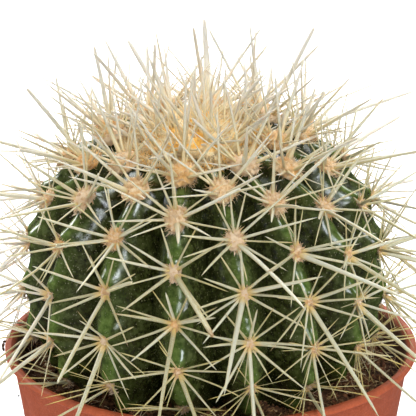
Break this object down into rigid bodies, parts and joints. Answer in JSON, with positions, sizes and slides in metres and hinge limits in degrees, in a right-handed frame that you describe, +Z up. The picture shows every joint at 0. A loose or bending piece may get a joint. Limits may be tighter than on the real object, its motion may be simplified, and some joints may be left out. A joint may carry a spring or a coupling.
{
  "type": "potted round cactus",
  "caption": "Round ribbed cactus with long straw-coloured spines and a woolly crown, in brown peat in a terracotta-red plastic nursery pot.",
  "frame": {"origin": "centre of the pot's flat underside", "axes": "+Z up along the pot's axis, -Y towards the side that the picture shows, +X to the right of that side"},
  "size_m": [0.1712, 0.1701, 0.1892],
  "materials": {
    "pot_plastic": "terracotta-red moulded plastic, faintly speckled and scuffed",
    "peat": "dark brown crumbled peat with tan fibres",
    "green_skin": "dark green waxy skin, softly glossy",
    "spines": "pale straw, finely banded across",
    "crown_wool": "golden tan felted wool"
  },
  "bodies": {
    "root": {"pot": "pot_plastic", "soil": "peat", "cactus": "green_skin", "crown_wool": "crown_wool"}
  },
  "joints": []
}
